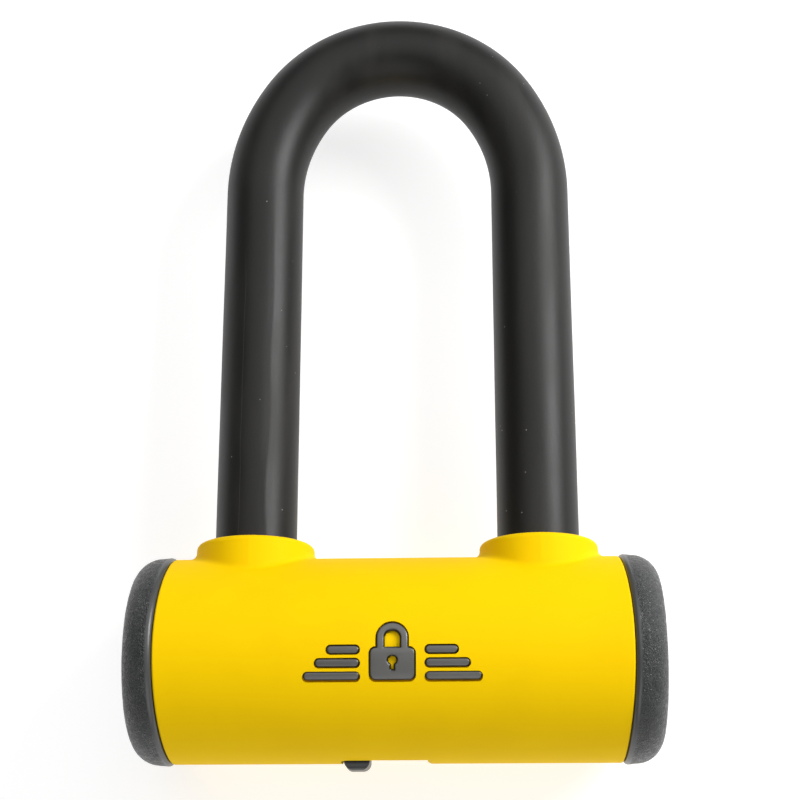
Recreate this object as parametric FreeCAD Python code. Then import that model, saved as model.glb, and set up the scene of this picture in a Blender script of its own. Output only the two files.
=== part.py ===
"""Compact U-lock: a sleeved steel shackle that two key-driven deadbolts hold in a tubular crossbar.

Millimetres. The origin is the crossbar's centre, on its own axis. +X runs along the crossbar, +Y along
the shackle's legs towards the crown, and +Z out of the emblem face, so the lock lies on its back.
It is drawn unlocked: the shackle is home, the deadbolts are drawn in and the dust cover is open.
"""
import FreeCAD, Part
import math
import os

Vector = FreeCAD.Vector
SIDES = {"left": -1, "right": 1}

# Shackle: a round bar in a vinyl sleeve, bent as a three-centred arch
BAR_RADIUS = 8.0
SLEEVE_RADIUS = 9.0
LEG_X = 31.2
FOOT_Y = -13.0
FOOT_CHAMFER = 1.5
SLEEVE_END_Y = 22.2
LEG_TOP_Y = 110.3
SHOULDER_RADIUS = 41.2
SHOULDER_ANGLE = math.radians(35.0)
NOTCH_Y = (3.0, 13.0)
NOTCH_DEPTH = 5.7

# Crossbar tube
TUBE_RADIUS = 19.8
TUBE_BORE = 15.3
TUBE_HALF = 50.5
LEG_BORE = 8.3
INSERT_RADIUS = 15.1

# Moulded cover over the tube
COVER_RADIUS = 22.0
COVER_BORE = 19.85
COVER_HALF = 49.6
SEAM_X = 48.0
SEAM_RADIUS = 161.0
SEAM_GAP = 0.15
COVER_EDGE = 0.4
COLLAR_TOP_Y = 25.2
COLLAR_BASE_RADIUS = 13.8
COLLAR_RIM_RADIUS = 12.95
COLLAR_RIM_ROUND = 1.2
COLLAR_BASE_ROUND = 1.5
COLLAR_BORE = 9.4
SEAL_SEAT_RADIUS = 11.3
SEAL_SEAT_Y = 21.9
SEAL_CLEARANCE = 0.1
SEAL_BORE = 8.35

# End caps, plugs and their roll pins
CAP_END_X = 56.6
CAP_LIP_RADIUS = 22.6
CAP_LIP_ROUND = 0.9
CAP_BODY_RADIUS = 22.35
CAP_ROUND = 5.8
CAP_SOCKET_X = 50.6
CAP_SPIGOT_X = 47.1
CAP_SPIGOT_RADIUS = 15.2
CAP_SPIGOT_BORE = 12.0
CAP_FLOOR_X = 54.1
PLUG_X = (41.9, 46.9)
PLUG_PIN_X = 44.4
PLUG_PIN_RADIUS = 2.0
PLUG_PIN_BORE = 1.2
PIN_HALF_LENGTH = 19.5
PIN_SLIT = 0.5
PIN_SLACK = 0.05

# Deadbolts, their guides and the crank that throws them
GUIDE_X = (20.5, 41.7)
WINDOW_Y = (3.6, 12.4)
WINDOW_HALF_Z = 5.6
BOLT_CLEARANCE = 0.2
BOLT_X = (12.2, 22.3)
BOLT_TIP_CHAMFER = 0.8
TAIL_Y = (6.5, 11.0)
TAIL_INNER_Z = 0.5
TAIL_HEAD_Z = 7.8
TAIL_WALL = 1.5
CRANK_RADIUS = 4.5
CRANK_PIN_RADIUS = 1.75
CRANK_SLOT_HALF = 2.0
CRANK_SLOT_SLACK = 0.3
KEY_THROW = math.radians(90.0)
CAM_RADIUS = 7.3
CAM_Y = (3.2, 6.2)
CRANK_PIN_END_Y = 10.5
CAM_CLEARANCE = 0.3
DRIVE_SQUARE_HALF = 2.2

# Two-part bolt housing and its screws
HOUSING_HALF = 20.3
SCREW_X = 14.5
SCREW_Y = (-8.4, -0.6)
SCREW_RADIUS = 2.0
SCREW_END_Z = -9.0
SCREW_HEAD_RADIUS = 3.4
SCREW_HEAD_Z = (6.2, 9.0)
SCREW_SOCKET_RADIUS = 1.6
SCREW_SOCKET_DEPTH = 1.7

# Disc-detainer lock cylinder
CYLINDER_RADIUS = 8.7
CYLINDER_Y = (-17.5, 2.0)
CYLINDER_FLOOR_Y = 0.2
CYLINDER_SLACK = 0.05
CORE_RADIUS = 5.7
CORE_Y = (-16.4, 0.15)
CORE_BORE = 4.6
CORE_FLOOR_Y = -1.0
CORE_NECK_RADIUS = 3.4
CORE_NECK_END_Y = 3.2
KEYWAY_HALF_X = 2.9
KEYWAY_HALF_Z = 1.1
DISC_RADIUS = 4.5
DISC_THICKNESS = 1.2
SPACER_THICKNESS = 0.55
DISC_COUNT = 8
DISC_START_Y = -16.2
GATE_HALF_X = 0.75
GATE_FLOOR_Z = 3.8
SIDEBAR_HALF_X = 0.7
SIDEBAR_Z = (4.0, 5.6)
SIDEBAR_Y = (-15.5, -2.9)
FRONT_DISC_Y = (-17.9, -16.5)
FRONT_DISC_RADIUS = 5.65
BEZEL_END_Y = -19.6
BEZEL_BORE = 5.8
CLIP_Y = (2.1, 2.8)
CLIP_RADIUS = 4.4
CLIP_BORE = 3.0
RETAINER_RADIUS = 1.5
RETAINER_Y = -6.0
RETAINER_Z = (-18.2, -7.6)

# Key opening in the cover and the dust cover that slides behind its lips
OPENING_X = (-11.7, 6.5)
OPENING_Z = (-7.9, 3.4)
OPENING_DRAFT = 1.1
OPENING_DRAFT_DEPTH = 0.9
OPENING_CORNER = 1.5
POCKET_X = (-25.5, 7.2)
POCKET_HALF_Z = 9.5
POCKET_RADIUS = 21.2
SLIDER_X = (-25.0, -5.6)
SLIDER_RADII = (20.0, 20.9)
SLIDER_HALF_Z = 9.2
THUMB_TAB_X = (-11.1, -5.6)
THUMB_TAB_Z = (-4.4, 2.4)
THUMB_TAB_TIP_Y = -23.5
THUMB_TAB_ROUND = 1.9

# Emblem: a plain padlock sign between two sets of bars, inlaid in the cover
INLAY_FLOOR_RADIUS = 21.1
INLAY_TOP_RADIUS = 22.2
INLAY_GAP = 0.25
SIGN_HALF_WIDTH = 4.6
SIGN_Y = (-7.6, -1.0)
SIGN_CORNER = 1.2
BOW_CENTRE_Y = 1.0
BOW_RADIUS = 3.2
BOW_BORE = 1.7
SIGN_KEYHOLE_RADIUS = 1.0
SIGN_KEYHOLE_Y = (-5.7, -3.6)
SIGN_KEYHOLE_SLOT = 0.45
BAR_START_X = 6.8
BAR_HALF_HEIGHT = 0.8
BARS = ((-6.8, 11.4), (-4.1, 9.0), (-1.4, 6.6))

FAR = 60.0


def cylinder_x(radius, x_from, x_to, y=0.0, z=0.0):
    """Cylinder along X."""
    return Part.makeCylinder(radius, x_to - x_from, Vector(x_from, y, z), Vector(1, 0, 0))


def cylinder_y(radius, y_from, y_to, x=0.0, z=0.0):
    """Cylinder along Y."""
    return Part.makeCylinder(radius, y_to - y_from, Vector(x, y_from, z), Vector(0, 1, 0))


def cylinder_z(radius, z_from, z_to, x=0.0, y=0.0):
    """Cylinder along Z."""
    return Part.makeCylinder(radius, z_to - z_from, Vector(x, y, z_from), Vector(0, 0, 1))


def box(x_from, x_to, y_from, y_to, z_from, z_to):
    """Box between two opposite corners."""
    size = (x_to - x_from, y_to - y_from, z_to - z_from)
    return Part.makeBox(*size, Vector(x_from, y_from, z_from))


def turned_about_y(shape):
    """Copy of a shape, half a turn about the Y axis."""
    copy = shape.copy()
    copy.rotate(Vector(0, 0, 0), Vector(0, 1, 0), 180)
    return copy


def mirrored(shape):
    """Copy of a shape, mirrored from the right side to the left."""
    return shape.mirror(Vector(0, 0, 0), Vector(1, 0, 0))


def edges_where(shape, test):
    """Edges whose two end points and middle all pass the test."""
    found = []
    for edge in shape.Edges:
        middle = edge.valueAt((edge.FirstParameter + edge.LastParameter) / 2)
        points = [vertex.Point for vertex in edge.Vertexes] + [middle]
        if all(test(point) for point in points):
            found.append(edge)
    return found


def rounded_prism(x_from, x_to, y_from, y_to, corner, z_from, z_to):
    """Upright prism on a rectangle with round corners."""
    prism = box(x_from, x_to, y_from, y_to, z_from, z_to)
    upright = [edge for edge in prism.Edges if abs(edge.tangentAt(0).z) > 0.5]
    return prism.makeFillet(corner, upright)


def stadium_prism(x_from, x_to, y, half_height, z_from, z_to):
    """Upright prism on a bar with full round ends."""
    prism = box(x_from + half_height, x_to - half_height, y - half_height, y + half_height, z_from, z_to)
    for x in (x_from + half_height, x_to - half_height):
        prism = prism.fuse(cylinder_z(half_height, z_from, z_to, x, y))
    return prism.removeSplitter()


# ---------------------------------------------------------------------------------- shackle


def arch_path(start_y):
    """Centre line of the shackle: two legs joined by shoulder, crown and shoulder arcs."""
    inset = SHOULDER_RADIUS - LEG_X
    crown_radius = SHOULDER_RADIUS - inset / math.cos(SHOULDER_ANGLE)
    crown_y = LEG_TOP_Y + inset * math.tan(SHOULDER_ANGLE)

    def on_shoulder(side, angle):
        x = SHOULDER_RADIUS * math.cos(angle) - inset
        return Vector(side * x, LEG_TOP_Y + SHOULDER_RADIUS * math.sin(angle), 0)

    def shoulder(side):
        points = [on_shoulder(side, angle) for angle in (0.0, SHOULDER_ANGLE / 2, SHOULDER_ANGLE)]
        return points if side < 0 else points[::-1]

    foot_left = Vector(-LEG_X, start_y, 0)
    foot_right = Vector(LEG_X, start_y, 0)
    left = shoulder(-1)
    right = shoulder(1)
    top = Vector(0, crown_y + crown_radius, 0)
    curves = [
        Part.LineSegment(foot_left, left[0]),
        Part.Arc(*left),
        Part.Arc(left[2], top, right[0]),
        Part.Arc(*right),
        Part.LineSegment(right[2], foot_right),
    ]
    return Part.Wire([curve.toShape() for curve in curves])


def arch_solid(radius, start_y):
    """Round bar of the given radius along the arch."""
    ring = Part.Circle(Vector(-LEG_X, start_y, 0), Vector(0, 1, 0), radius).toShape()
    return arch_path(start_y).makePipeShell([Part.Wire([ring])], True, False)


def shackle_bar():
    """Steel bar with chamfered feet and a deadbolt notch on the inner side of each leg."""
    bar = arch_solid(BAR_RADIUS, FOOT_Y)
    feet = edges_where(bar, lambda point: abs(point.y - FOOT_Y) < 0.01)
    bar = bar.makeChamfer(FOOT_CHAMFER, feet)
    notch_x = LEG_X - BAR_RADIUS + NOTCH_DEPTH
    for side in SIDES.values():
        inner, outer = sorted((side * (notch_x - 2 * BAR_RADIUS), side * notch_x))
        bar = bar.cut(box(inner, outer, *NOTCH_Y, -2 * BAR_RADIUS, 2 * BAR_RADIUS))
    return bar


def shackle_sleeve():
    """Vinyl sleeve over the bar, from just above the seals."""
    return arch_solid(SLEEVE_RADIUS, SLEEVE_END_Y).cut(arch_solid(BAR_RADIUS, SLEEVE_END_Y))


# --------------------------------------------------------------------------------- crossbar


def crossbar_tube():
    """Steel tube with leg holes on top, the cylinder's hole below and cross holes for the pins."""
    tube = cylinder_x(TUBE_RADIUS, -TUBE_HALF, TUBE_HALF).cut(cylinder_x(TUBE_BORE, -FAR, FAR))
    tube = tube.cut(cylinder_y(CYLINDER_RADIUS + CYLINDER_SLACK, -FAR, 0))
    tube = tube.cut(cylinder_z(RETAINER_RADIUS, -FAR, 0, 0, RETAINER_Y))
    for side in SIDES.values():
        tube = tube.cut(cylinder_y(LEG_BORE, 0, FAR, side * LEG_X))
        tube = tube.cut(cylinder_z(PLUG_PIN_RADIUS, -FAR, FAR, side * PLUG_PIN_X))
    return tube


def opening_prism():
    """Space of the key opening: its right end leans outwards near the cover's surface."""
    x_from, x_to = OPENING_X
    z_from, z_to = OPENING_Z
    knee = -COVER_RADIUS + OPENING_DRAFT_DEPTH
    slope = OPENING_DRAFT / OPENING_DRAFT_DEPTH
    reach = COVER_RADIUS + 2.0
    outline = [
        Vector(x_from, -COVER_BORE / 2, z_from),
        Vector(x_to, -COVER_BORE / 2, z_from),
        Vector(x_to, knee, z_from),
        Vector(x_to + slope * (reach + knee), -reach, z_from),
        Vector(x_from, -reach, z_from),
    ]
    face = Part.Face(Part.makePolygon(outline + outline[:1]))
    prism = face.extrude(Vector(0, 0, z_to - z_from))
    near_end = edges_where(prism, lambda point: abs(point.x - x_from) < 0.01)
    along_y = [edge for edge in near_end if abs(edge.tangentAt(0).y) > 0.5]
    return prism.makeFillet(OPENING_CORNER, along_y)


def collar():
    """Drafted boss that stands on the cover round the right leg."""
    return Part.makeCone(
        COLLAR_BASE_RADIUS, COLLAR_RIM_RADIUS, COLLAR_TOP_Y, Vector(LEG_X, 0, 0), Vector(0, 1, 0)
    )


def crossbar_cover():
    """Moulded sleeve over the tube, with two collars, the key opening and the emblem's recesses."""
    cover = cylinder_x(COVER_RADIUS, -COVER_HALF, COVER_HALF)
    cover = cover.fuse([collar(), mirrored(collar())])

    def at_collar_foot(point):
        radius = math.hypot(abs(point.x) - LEG_X, point.z)
        return 12.0 < point.y < COVER_RADIUS + 0.01 and radius < COLLAR_BASE_RADIUS + 0.01

    cover = cover.makeFillet(COLLAR_BASE_ROUND, edges_where(cover, at_collar_foot))
    rims = edges_where(cover, lambda point: abs(point.y - COLLAR_TOP_Y) < 0.01)
    cover = cover.makeFillet(COLLAR_RIM_ROUND, rims)
    cover = cover.cut([seam_cylinder(0.0), mirrored(seam_cylinder(0.0))])
    ends = edges_where(cover, lambda point: abs(point.x) > SEAM_X - 0.01)
    cover = cover.makeFillet(COVER_EDGE, ends)
    cover = cover.cut(cylinder_x(COVER_BORE, -FAR, FAR))
    for side in SIDES.values():
        cover = cover.cut(cylinder_y(COLLAR_BORE, 0, FAR, side * LEG_X))
        cover = cover.cut(cylinder_y(SEAL_SEAT_RADIUS, 0, SEAL_SEAT_Y, side * LEG_X))
    pocket = cylinder_x(POCKET_RADIUS, *POCKET_X)
    pocket = pocket.common(box(*POCKET_X, -FAR, 0, -POCKET_HALF_Z, POCKET_HALF_Z))
    cover = cover.cut(pocket).cut(opening_prism())
    for prism in emblem_prisms(INLAY_GAP, False):
        cover = cover.cut(prism.cut(cylinder_x(INLAY_FLOOR_RADIUS, -FAR, FAR)))
    return cover


def emblem_prisms(grow, with_holes):
    """Upright prisms on the emblem's outlines, widened all round by grow."""
    z_range = (COVER_BORE / 2, COVER_RADIUS + 3)
    half = SIGN_HALF_WIDTH + grow
    body = rounded_prism(-half, half, SIGN_Y[0] - grow, SIGN_Y[1] + grow, SIGN_CORNER + grow, *z_range)
    bow_radius = BOW_RADIUS + grow
    bow = cylinder_z(bow_radius, *z_range, 0, BOW_CENTRE_Y)
    bow = bow.fuse(box(-bow_radius, bow_radius, SIGN_Y[1], BOW_CENTRE_Y, *z_range))
    if with_holes:
        bow = bow.cut(cylinder_z(BOW_BORE, *z_range, 0, BOW_CENTRE_Y))
        bow = bow.cut(box(-BOW_BORE, BOW_BORE, SIGN_Y[1], BOW_CENTRE_Y, *z_range))
        body = body.cut(cylinder_z(SIGN_KEYHOLE_RADIUS, *z_range, 0, SIGN_KEYHOLE_Y[1]))
        body = body.cut(box(-SIGN_KEYHOLE_SLOT, SIGN_KEYHOLE_SLOT, *SIGN_KEYHOLE_Y, *z_range))
    prisms = [body.fuse(bow).removeSplitter()]
    for y, length in BARS:
        start = BAR_START_X - grow
        end = BAR_START_X + length + grow
        for x_from, x_to in ((start, end), (-end, -start)):
            prisms.append(stadium_prism(x_from, x_to, y, BAR_HALF_HEIGHT + grow, *z_range))
    return prisms


def emblem_inlays():
    """Padlock sign and bars that fill the cover's recesses and stand slightly proud."""
    layer = cylinder_x(INLAY_TOP_RADIUS, -FAR, FAR).cut(cylinder_x(INLAY_FLOOR_RADIUS, -FAR, FAR))
    return Part.makeCompound([prism.common(layer).Solids[0] for prism in emblem_prisms(0.0, True)])


def seam_cylinder(gap):
    """Upright cylinder whose near side is the hollow seam between the cover and the right cap."""
    return cylinder_y(SEAM_RADIUS, -FAR, FAR, SEAM_X + SEAM_RADIUS + gap)


def end_cap():
    """Right end cap: curved lip, slightly tapered side, round outer edge and a spigot."""
    lip_x = SEAM_X + SEAM_GAP
    round_x = CAP_END_X - CAP_ROUND
    round_radius = CAP_BODY_RADIUS - CAP_ROUND
    diagonal = CAP_ROUND * math.sqrt(0.5)
    corners = [
        (CAP_END_X, round_radius),
        (CAP_END_X, 0.0),
        (CAP_FLOOR_X, 0.0),
        (CAP_FLOOR_X, CAP_SPIGOT_BORE),
        (CAP_SPIGOT_X, CAP_SPIGOT_BORE),
        (CAP_SPIGOT_X, CAP_SPIGOT_RADIUS),
        (CAP_SOCKET_X, CAP_SPIGOT_RADIUS),
        (CAP_SOCKET_X, COVER_BORE),
        (lip_x, COVER_BORE),
        (lip_x, CAP_LIP_RADIUS),
        (round_x, CAP_BODY_RADIUS),
    ]
    points = [Vector(x, radius, 0) for x, radius in corners]
    outline = Part.makePolygon(points).Edges
    middle = Vector(round_x + diagonal, round_radius + diagonal, 0)
    outline.append(Part.Arc(points[-1], middle, points[0]).toShape())
    cap = Part.Face(Part.Wire(outline)).revolve(Vector(0, 0, 0), Vector(1, 0, 0), 360)
    margin = cylinder_x(FAR, lip_x - 1.0, CAP_SOCKET_X).cut(cylinder_x(COVER_BORE, -FAR, FAR))
    cap = cap.cut(margin.cut(seam_cylinder(SEAM_GAP)))

    def at_lip(point):
        return point.x < round_x - 0.5 and math.hypot(point.y, point.z) > COVER_RADIUS

    return cap.makeFillet(CAP_LIP_ROUND, edges_where(cap, at_lip))


def end_plug():
    """Right steel plug that keeps the leg guide in the tube."""
    plug = cylinder_x(INSERT_RADIUS, *PLUG_X)
    return plug.cut(cylinder_z(PLUG_PIN_RADIUS, -FAR, FAR, PLUG_PIN_X))


def plug_pin():
    """Right roll pin: a slit tube across the crossbar."""
    reach = (-PIN_HALF_LENGTH, PIN_HALF_LENGTH)
    pin = cylinder_z(PLUG_PIN_RADIUS - PIN_SLACK, *reach, PLUG_PIN_X)
    pin = pin.cut(cylinder_z(PLUG_PIN_BORE, *reach, PLUG_PIN_X))
    return pin.cut(box(PLUG_PIN_X, PLUG_PIN_X + FAR, -PIN_SLIT / 2, PIN_SLIT / 2, *reach))


def leg_seal():
    """Right wiper ring between the tube and the collar, shaped to the tube below."""
    seal = cylinder_y(SEAL_SEAT_RADIUS - SEAL_CLEARANCE, 0, SEAL_SEAT_Y - SEAL_CLEARANCE, LEG_X)
    seal = seal.cut(cylinder_y(SEAL_BORE, 0, FAR, LEG_X))
    return seal.cut(cylinder_x(COVER_BORE, -FAR, FAR))


def leg_guide():
    """Right steel block that the leg drops into, with a window for the deadbolt."""
    block = cylinder_x(INSERT_RADIUS, *GUIDE_X)
    block = block.cut(cylinder_y(LEG_BORE, -FAR, FAR, LEG_X))
    return block.cut(box(0, LEG_X, *WINDOW_Y, -WINDOW_HALF_Z, WINDOW_HALF_Z))


# ---------------------------------------------------------------------------- bolt mechanism


def bolt_housing_halves():
    """Front and back halves of the block that holds the cylinder and guides the deadbolts."""
    block = cylinder_x(INSERT_RADIUS, -HOUSING_HALF, HOUSING_HALF)
    block = block.cut(cylinder_y(CYLINDER_RADIUS + CYLINDER_SLACK, -FAR, CYLINDER_Y[1] + CYLINDER_SLACK))
    block = block.cut(cylinder_y(CAM_RADIUS + CAM_CLEARANCE, 0, CAM_Y[1] + CAM_CLEARANCE))
    block = block.cut(box(-FAR, FAR, *WINDOW_Y, -WINDOW_HALF_Z, WINDOW_HALF_Z))
    head_reach = CRANK_RADIUS * math.sin(KEY_THROW / 2) + CRANK_SLOT_HALF + TAIL_WALL + CAM_CLEARANCE
    head_z = TAIL_HEAD_Z + CAM_CLEARANCE
    head_y = (TAIL_Y[0] - CAM_CLEARANCE, TAIL_Y[1] + CAM_CLEARANCE)
    block = block.cut(box(-head_reach, head_reach, *head_y, -head_z, head_z))
    block = block.cut(cylinder_z(RETAINER_RADIUS, -FAR, 0, 0, RETAINER_Y))
    for x in (-SCREW_X, SCREW_X):
        for y in SCREW_Y:
            block = block.cut(cylinder_z(SCREW_RADIUS + PIN_SLACK, SCREW_END_Z, FAR, x, y))
            block = block.cut(cylinder_z(SCREW_HEAD_RADIUS + PIN_SLACK, SCREW_HEAD_Z[0], FAR, x, y))
    front = block.common(box(-FAR, FAR, -FAR, FAR, 0, FAR))
    back = block.common(box(-FAR, FAR, -FAR, FAR, -FAR, 0))
    return front, back


def housing_screws():
    """Four socket screws that clamp the housing halves together."""
    screws = []
    for x in (-SCREW_X, SCREW_X):
        for y in SCREW_Y:
            screw = cylinder_z(SCREW_RADIUS, SCREW_END_Z, SCREW_HEAD_Z[0], x, y)
            screw = screw.fuse(cylinder_z(SCREW_HEAD_RADIUS, *SCREW_HEAD_Z, x, y))
            socket_floor = SCREW_HEAD_Z[1] - SCREW_SOCKET_DEPTH
            hexagon = [
                Vector(
                    x + SCREW_SOCKET_RADIUS * math.cos(math.radians(60 * corner)),
                    y + SCREW_SOCKET_RADIUS * math.sin(math.radians(60 * corner)),
                    socket_floor,
                )
                for corner in range(7)
            ]
            socket = Part.Face(Part.makePolygon(hexagon)).extrude(Vector(0, 0, FAR))
            screws.append(screw.cut(socket).removeSplitter())
    return Part.makeCompound(screws)


def crank_pin_x():
    """How far the crank pins stand to the side at either end of the key's turn."""
    return CRANK_RADIUS * math.sin(KEY_THROW / 2)


def right_deadbolt():
    """Deadbolt with a tail that reaches over the cam; its slotted head takes a crank pin."""
    half_z = WINDOW_HALF_Z - BOLT_CLEARANCE
    bolt = box(*BOLT_X, WINDOW_Y[0] + BOLT_CLEARANCE, WINDOW_Y[1] - BOLT_CLEARANCE, -half_z, half_z)
    tip = edges_where(bolt, lambda point: abs(point.x - BOLT_X[1]) < 0.01)
    bolt = bolt.makeChamfer(BOLT_TIP_CHAMFER, tip)
    slot_x = -crank_pin_x()
    head_half = CRANK_SLOT_HALF + TAIL_WALL
    neck = box(slot_x, BOLT_X[0], *TAIL_Y, TAIL_INNER_Z, half_z)
    head = box(slot_x - head_half, slot_x + head_half, *TAIL_Y, TAIL_INNER_Z, TAIL_HEAD_Z)
    slot_from_z = CRANK_RADIUS * math.cos(KEY_THROW / 2) - CRANK_PIN_RADIUS - CRANK_SLOT_SLACK
    slot_to_z = CRANK_RADIUS + CRANK_PIN_RADIUS + CRANK_SLOT_SLACK
    slot = box(slot_x - CRANK_SLOT_HALF, slot_x + CRANK_SLOT_HALF, -FAR, FAR, slot_from_z, slot_to_z)
    return bolt.fuse([neck, head]).cut(slot).removeSplitter()


def drive_cam():
    """Disc on the core's square end, with two crank pins that throw the deadbolts."""
    cam = cylinder_y(CAM_RADIUS, *CAM_Y)
    side = crank_pin_x()
    height = CRANK_RADIUS * math.cos(KEY_THROW / 2)
    for x, z in ((-side, height), (side, -height)):
        cam = cam.fuse(cylinder_y(CRANK_PIN_RADIUS, CAM_Y[0], CRANK_PIN_END_Y, x, z))
    half = DRIVE_SQUARE_HALF
    return cam.cut(box(-half, half, -FAR, FAR, -half, half)).removeSplitter()


# ----------------------------------------------------------------------------- lock cylinder


def keyway(y_from, y_to):
    """Space of the key slot."""
    return box(-KEYWAY_HALF_X, KEYWAY_HALF_X, y_from, y_to, -KEYWAY_HALF_Z, KEYWAY_HALF_Z)


def cylinder_housing():
    """Steel cylinder body with the sidebar's locking groove at a quarter turn from the gate."""
    body = cylinder_y(CYLINDER_RADIUS, *CYLINDER_Y)
    body = body.cut(cylinder_y(CORE_RADIUS + CYLINDER_SLACK, -FAR, CYLINDER_FLOOR_Y))
    body = body.cut(cylinder_y(CORE_NECK_RADIUS + CYLINDER_SLACK, -FAR, FAR))
    body = body.cut(box(0, CORE_RADIUS + 1, *SIDEBAR_Y, -GATE_HALF_X, GATE_HALF_X))
    return body.cut(cylinder_z(RETAINER_RADIUS, -FAR, RETAINER_Z[1], 0, RETAINER_Y))


def key_core():
    """Turning core: a slotted barrel for the discs, a neck with a clip groove and a square end."""
    core = cylinder_y(CORE_RADIUS, *CORE_Y)
    core = core.cut(cylinder_y(CORE_BORE, CORE_Y[0], CORE_FLOOR_Y))
    core = core.cut(box(-GATE_HALF_X, GATE_HALF_X, *SIDEBAR_Y, 0, CORE_RADIUS + 1))
    core = core.fuse(cylinder_y(CORE_NECK_RADIUS, CORE_FLOOR_Y, CORE_NECK_END_Y))
    core = core.cut(cylinder_y(FAR, *CLIP_Y).cut(cylinder_y(CLIP_BORE, *CLIP_Y)))
    half = DRIVE_SQUARE_HALF
    return core.fuse(box(-half, half, CORE_NECK_END_Y, CAM_Y[1], -half, half))


def gated_disc(y_from, thickness):
    """Disc with a key slot and a gate for the sidebar in its rim."""
    disc = cylinder_y(DISC_RADIUS, y_from, y_from + thickness)
    disc = disc.cut(keyway(-FAR, FAR))
    return disc.cut(box(-GATE_HALF_X, GATE_HALF_X, -FAR, FAR, GATE_FLOOR_Z, DISC_RADIUS + 1))


def locking_discs():
    """Stack of detainer discs, all at their gate."""
    pitch = DISC_THICKNESS + SPACER_THICKNESS
    return Part.makeCompound(
        [gated_disc(DISC_START_Y + pitch * index, DISC_THICKNESS) for index in range(DISC_COUNT)]
    )


def spacer_discs():
    """Thin spacers between the detainer discs."""
    pitch = DISC_THICKNESS + SPACER_THICKNESS
    start = DISC_START_Y + DISC_THICKNESS
    return Part.makeCompound(
        [gated_disc(start + pitch * index, SPACER_THICKNESS) for index in range(DISC_COUNT - 1)]
    )


def core_circlip():
    """Open spring ring in the core's groove, behind the cylinder's floor."""
    ring = cylinder_y(CLIP_RADIUS, *CLIP_Y).cut(cylinder_y(CLIP_BORE, *CLIP_Y))
    return ring.cut(box(-CLIP_BORE / 2, CLIP_BORE / 2, *CLIP_Y, 0, FAR))


def keyhole_bezel():
    """Ring that fills the tube's hole round the key slot, flush with the tube."""
    ring = cylinder_y(CYLINDER_RADIUS, BEZEL_END_Y, CYLINDER_Y[0]).cut(cylinder_y(BEZEL_BORE, -FAR, 0))
    return ring.common(cylinder_x(-BEZEL_END_Y, -FAR, FAR))


def dust_cover():
    """Curved slider behind the opening's lips, with a rounded thumb tab."""
    plate = cylinder_x(SLIDER_RADII[1], *SLIDER_X).cut(cylinder_x(SLIDER_RADII[0], *SLIDER_X))
    plate = plate.common(box(*SLIDER_X, -FAR, 0, -SLIDER_HALF_Z, SLIDER_HALF_Z))
    tab = box(*THUMB_TAB_X, THUMB_TAB_TIP_Y, 0, *THUMB_TAB_Z)
    lower = edges_where(tab, lambda point: point.y < -0.01)
    tab = tab.makeFillet(THUMB_TAB_ROUND, lower)
    tab = tab.cut(cylinder_x((SLIDER_RADII[0] + SLIDER_RADII[1]) / 2, -FAR, FAR))
    return plate.fuse(tab)


def build_parts():
    """Every node of the lock by name."""
    front, back = bolt_housing_halves()
    bolt = right_deadbolt()
    nodes = {
        "shackle_bar": shackle_bar(),
        "shackle_sleeve": shackle_sleeve(),
        "crossbar_tube": crossbar_tube(),
        "crossbar_cover": crossbar_cover(),
        "emblem_inlays": emblem_inlays(),
        "bolt_housing_front": front,
        "bolt_housing_back": back,
        "housing_screws": housing_screws(),
        "cylinder_housing": cylinder_housing(),
        "cylinder_pin": cylinder_z(RETAINER_RADIUS - PIN_SLACK, *RETAINER_Z, 0, RETAINER_Y),
        "keyhole_bezel": keyhole_bezel(),
        "key_core": key_core(),
        "anti_drill_disc": cylinder_y(FRONT_DISC_RADIUS, *FRONT_DISC_Y).cut(keyway(-FAR, FAR)),
        "locking_discs": locking_discs(),
        "spacer_discs": spacer_discs(),
        "sidebar": box(-SIDEBAR_HALF_X, SIDEBAR_HALF_X, *SIDEBAR_Y, *SIDEBAR_Z),
        "core_circlip": core_circlip(),
        "drive_cam": drive_cam(),
        "dust_cover": dust_cover(),
        "right_deadbolt": bolt,
        "left_deadbolt": turned_about_y(bolt),
    }
    for name, shape in {
        "end_cap": end_cap(),
        "end_plug": end_plug(),
        "plug_pin": plug_pin(),
        "leg_seal": leg_seal(),
        "leg_guide": leg_guide(),
    }.items():
        nodes[f"right_{name}"] = shape
        nodes[f"left_{name}"] = mirrored(shape)
    return nodes


os.makedirs("parts", exist_ok=True)
for node, solid in build_parts().items():
    solid.exportStep(f"parts/{node}.step")
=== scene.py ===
"""Looks of a compact U-lock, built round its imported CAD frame.

Lengths are metres in the lock's own frame: +X along the crossbar, +Y along the shackle's legs
towards the crown, +Z out of the emblem face. The lock lies on its back on a pale floor.
"""
from __future__ import annotations

import logging
import math
from dataclasses import dataclass, field
from enum import Enum
from typing import Iterable, Sequence, Union

import bmesh
import bpy
import numpy as np
from mathutils import Matrix, Vector, noise


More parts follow.
